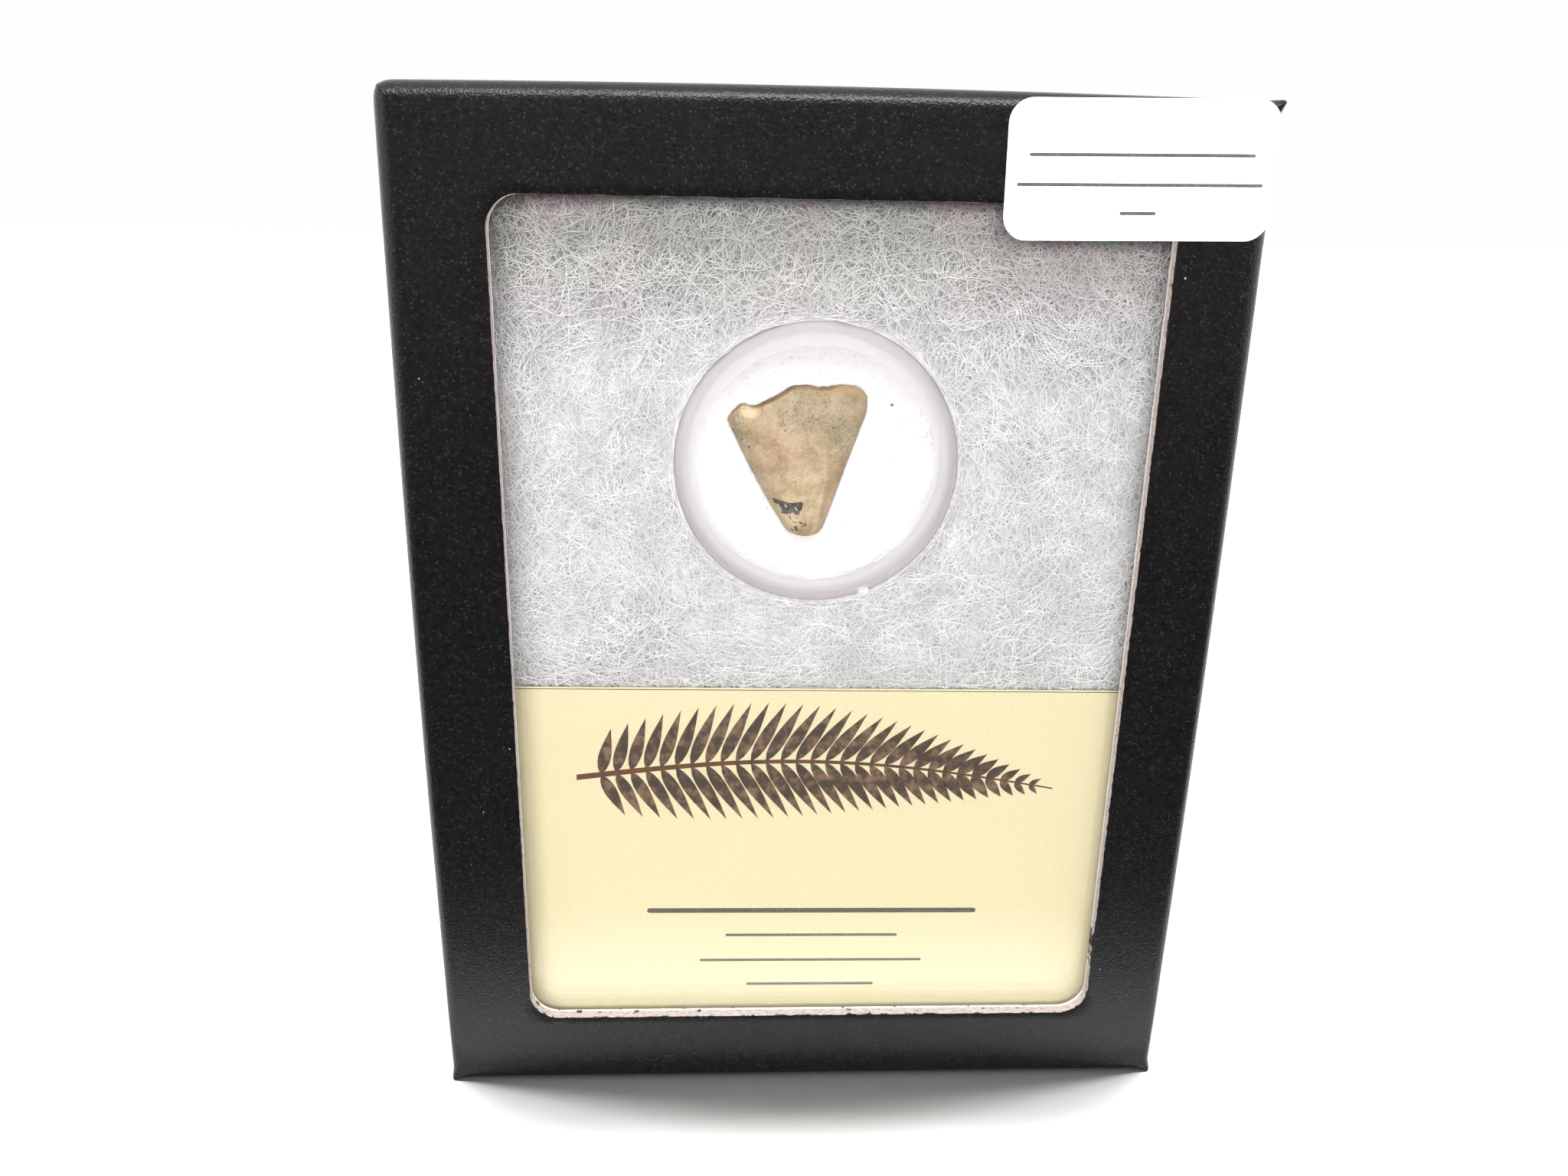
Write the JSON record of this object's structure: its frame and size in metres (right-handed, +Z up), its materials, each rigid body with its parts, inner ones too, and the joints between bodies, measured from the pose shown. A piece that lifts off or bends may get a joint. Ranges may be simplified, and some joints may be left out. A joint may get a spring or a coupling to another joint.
{
  "type": "fossil crocodile tooth in a specimen display box",
  "caption": "Fossil crocodile tooth on white foam in a clear round jar, bedded in batting behind the glass of a black board display box with a cream card.",
  "frame": {"origin": "middle of the box's footprint, on the surface that the box stands on", "axes": "+Z up the box from its foot to its top, +Y from the window through the box to its back, +X to the right as the window is looked at"},
  "size_m": [0.0826, 0.0196, 0.108],
  "materials": {
    "black_board": "black grained paper over board",
    "tray_board": "matte black paper over board",
    "clear_glass": "clear flat glass",
    "white_batting": "curly white polyester fibres",
    "clear_plastic": "clear moulded plastic with a faint lilac tint",
    "white_foam": "fine-celled white foam",
    "fossil_enamel": "tan fossil enamel, pitted and stained grey near the root",
    "cream_card": "smooth cream card",
    "white_label": "plain white sticker"
  },
  "bodies": {
    "root": {"box_lid": "black_board", "base_tray": "tray_board", "glass_pane": "clear_glass", "batting_pad": "white_batting", "jar_lid": "clear_plastic", "jar_cup": "clear_plastic", "foam_disc": "white_foam", "fossil_tooth": "fossil_enamel", "info_card": "cream_card", "label_sticker": "white_label"}
  },
  "joints": []
}
